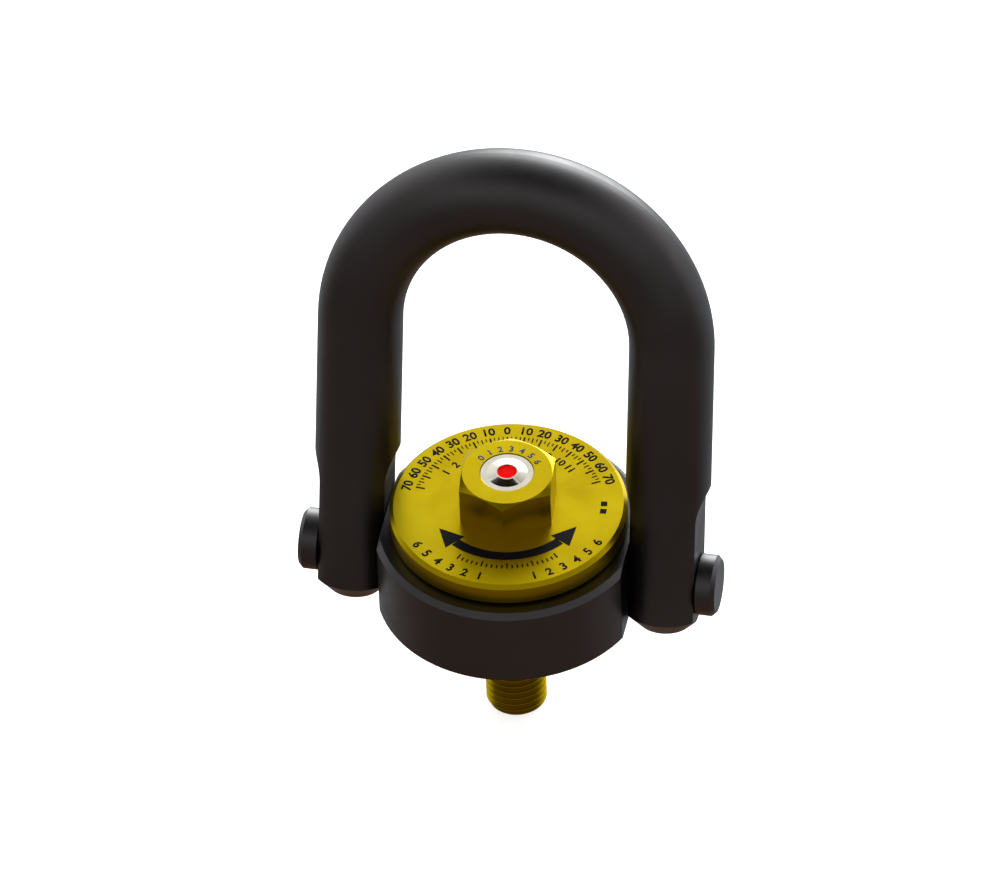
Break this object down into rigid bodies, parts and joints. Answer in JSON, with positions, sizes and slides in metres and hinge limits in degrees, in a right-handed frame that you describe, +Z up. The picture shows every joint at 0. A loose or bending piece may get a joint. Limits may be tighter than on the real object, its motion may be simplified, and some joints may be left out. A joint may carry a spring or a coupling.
{
  "type": "swivel hoist ring",
  "caption": "Bolt-on lifting ring with a swinging bail on a swivelling body, a thick load washer and a screw with a tension indicator.",
  "frame": {"origin": "centre of the bushing's bottom face, which sits on the load, on the swivel axis", "axes": "+Z up along the screw, away from the load; +X along the two pivot pins; the bail leans towards +Y"},
  "size_m": [0.1324, 0.0894, 0.2],
  "materials": {
    "black_oxide_steel": "black oxide, oiled, satin",
    "yellow_zinc_steel": "yellow chromate over zinc plating",
    "hardened_steel": "hardened and ground",
    "spring_steel": "blued spring steel",
    "bright_steel": "bright turned",
    "clear_window": "clear",
    "red_disc": "gloss red"
  },
  "bodies": {
    "base": {"bushing": "hardened_steel"},
    "washer": {"load_washer": "yellow_zinc_steel"},
    "swivel": {"swivel_body": "black_oxide_steel", "pivot_pin_left": "black_oxide_steel", "pivot_pin_right": "black_oxide_steel", "roll_pin_left": "spring_steel", "roll_pin_right": "spring_steel"},
    "bail": {"bail": "black_oxide_steel"},
    "retainer": {"screw_retaining_ring": "spring_steel"},
    "screw": {"screw": "yellow_zinc_steel", "indicator_cup": "bright_steel", "indicator_window": "clear_window"},
    "gauge": {"indicator_disc": "red_disc", "gauge_pin": "hardened_steel"}
  },
  "joints": [
    {"name": "body_swivel", "type": "hinge", "parent": "base", "child": "swivel", "pos_m": [0, 0, 0.0204], "axis": [0, 0, 1], "continuous": true},
    {"name": "bail_pivot", "type": "hinge", "parent": "swivel", "child": "bail", "pos_m": [0, 0, 0.0171], "axis": [1, 0, 0], "range_deg": [-75.2, 104.8]},
    {"name": "washer_turn", "type": "hinge", "parent": "base", "child": "washer", "pos_m": [0, 0, 0.0384], "axis": [0, 0, 1], "continuous": true},
    {"name": "screw_float", "type": "slide", "parent": "base", "child": "retainer", "axis": [0, 0, 1], "range_m": [0, 0.0006]},
    {"name": "screw_turn", "type": "hinge", "parent": "retainer", "child": "screw", "pos_m": [0, 0, 0], "axis": [0, 0, 1], "continuous": true},
    {"name": "indicator_travel", "type": "slide", "parent": "screw", "child": "gauge", "axis": [0, 0, -1], "range_m": [0, 0.0002]}
  ]
}
